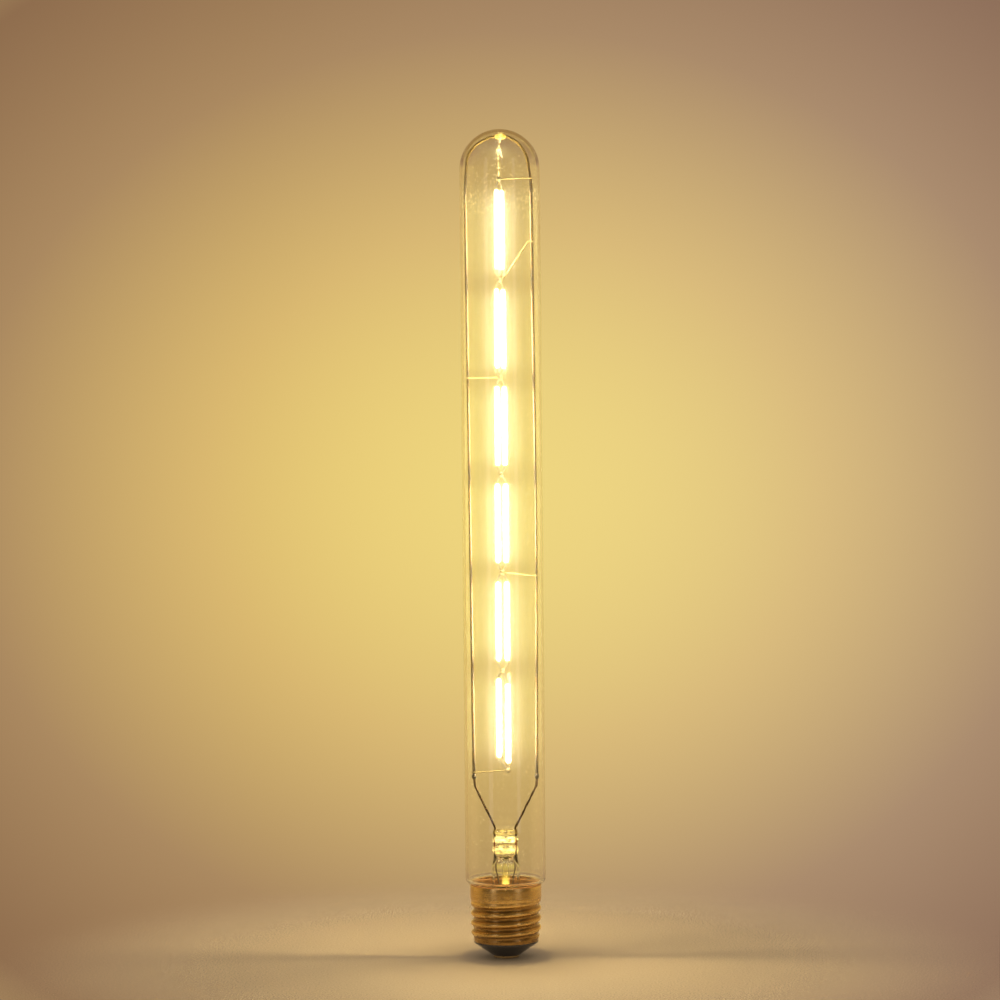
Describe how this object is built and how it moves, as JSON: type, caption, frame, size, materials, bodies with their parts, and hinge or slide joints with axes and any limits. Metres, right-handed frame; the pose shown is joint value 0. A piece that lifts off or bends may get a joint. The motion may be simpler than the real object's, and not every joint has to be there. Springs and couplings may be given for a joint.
{
  "type": "tubular filament lamp",
  "caption": "Clear glass tube lamp with a string of lit filaments on a wire frame and a screw cap.",
  "frame": {"origin": "tip of the centre contact, on the axis of the screw cap", "axes": "+Z along the axis from the cap to the dome; +X from the left to the right frame wire; -Y towards the viewer of the picture"},
  "size_m": [0.03, 0.03, 0.3085],
  "materials": {
    "clear_glass": "clear blown soda-lime glass",
    "stem_glass": "clear pressed lead-free stem glass",
    "bead_glass": "small fused glass bead",
    "frame_wire": "nickel-plated iron wire",
    "inner_lead": "nickel lead wire",
    "cross_wire": "thin nickel wire",
    "tab_metal": "stamped nickel strip",
    "weld_metal": "spot-welded metal",
    "seal_wire": "copper-clad seal wire",
    "outer_lead": "tinned copper wire",
    "filament_coat": "phosphor-filled silicone, lit",
    "shell_brass": "rolled brass sheet",
    "black_glass": "pressed black glass",
    "contact_metal": "stamped brass",
    "solder": "tin solder",
    "cement": "brown capping cement",
    "board": "glass-fibre board with green mask",
    "chip_black": "moulded black epoxy",
    "chip_ceramic": "ceramic chip with black glaze",
    "capacitor_sleeve": "shrunk plastic sleeve on aluminium",
    "resistor_coat": "flameproof coating"
  },
  "bodies": {
    "root": {"glass_envelope": "clear_glass", "glass_stem": "stem_glass", "exhaust_tube": "stem_glass", "frame_wire_left": "frame_wire", "frame_wire_right": "frame_wire", "inner_lead_left": "inner_lead", "inner_lead_right": "inner_lead", "slanted_stay": "frame_wire", "hanger_wire": "cross_wire", "seal_wire_left": "seal_wire", "seal_wire_right": "seal_wire", "outer_lead_left": "outer_lead", "outer_lead_right": "outer_lead", "weld_bead_left": "weld_metal", "weld_bead_right": "weld_metal", "top_bead": "bead_glass", "cross_wire_1": "cross_wire", "cross_wire_2": "cross_wire", "cross_wire_3": "cross_wire", "cross_wire_4": "cross_wire", "filament_tabs_1": "tab_metal", "filament_tabs_2": "tab_metal", "filament_tabs_3": "tab_metal", "filament_tabs_4": "tab_metal", "filament_tabs_5": "tab_metal", "filament_tabs_6": "tab_metal", "filament_tabs_7": "tab_metal", "string_welds": "weld_metal", "filament_1_left": "filament_coat", "filament_1_right": "filament_coat", "filament_2_left": "filament_coat", "filament_2_right": "filament_coat", "filament_3_left": "filament_coat", "filament_3_right": "filament_coat", "filament_4_left": "filament_coat", "filament_4_right": "filament_coat", "filament_5_left": "filament_coat", "filament_5_right": "filament_coat", "filament_6_left": "filament_coat", "filament_6_right": "filament_coat", "screw_shell": "shell_brass", "base_insulator": "black_glass", "centre_contact": "contact_metal", "tip_solder": "solder", "cement_ring": "cement", "driver_board": "board", "bridge_rectifier": "chip_black", "driver_chip": "chip_black", "chip_resistors": "chip_ceramic", "smoothing_capacitor": "capacitor_sleeve", "fusible_resistor": "resistor_coat", "neutral_wire": "outer_lead", "shell_solder": "solder", "board_solder": "solder"}
  },
  "joints": []
}
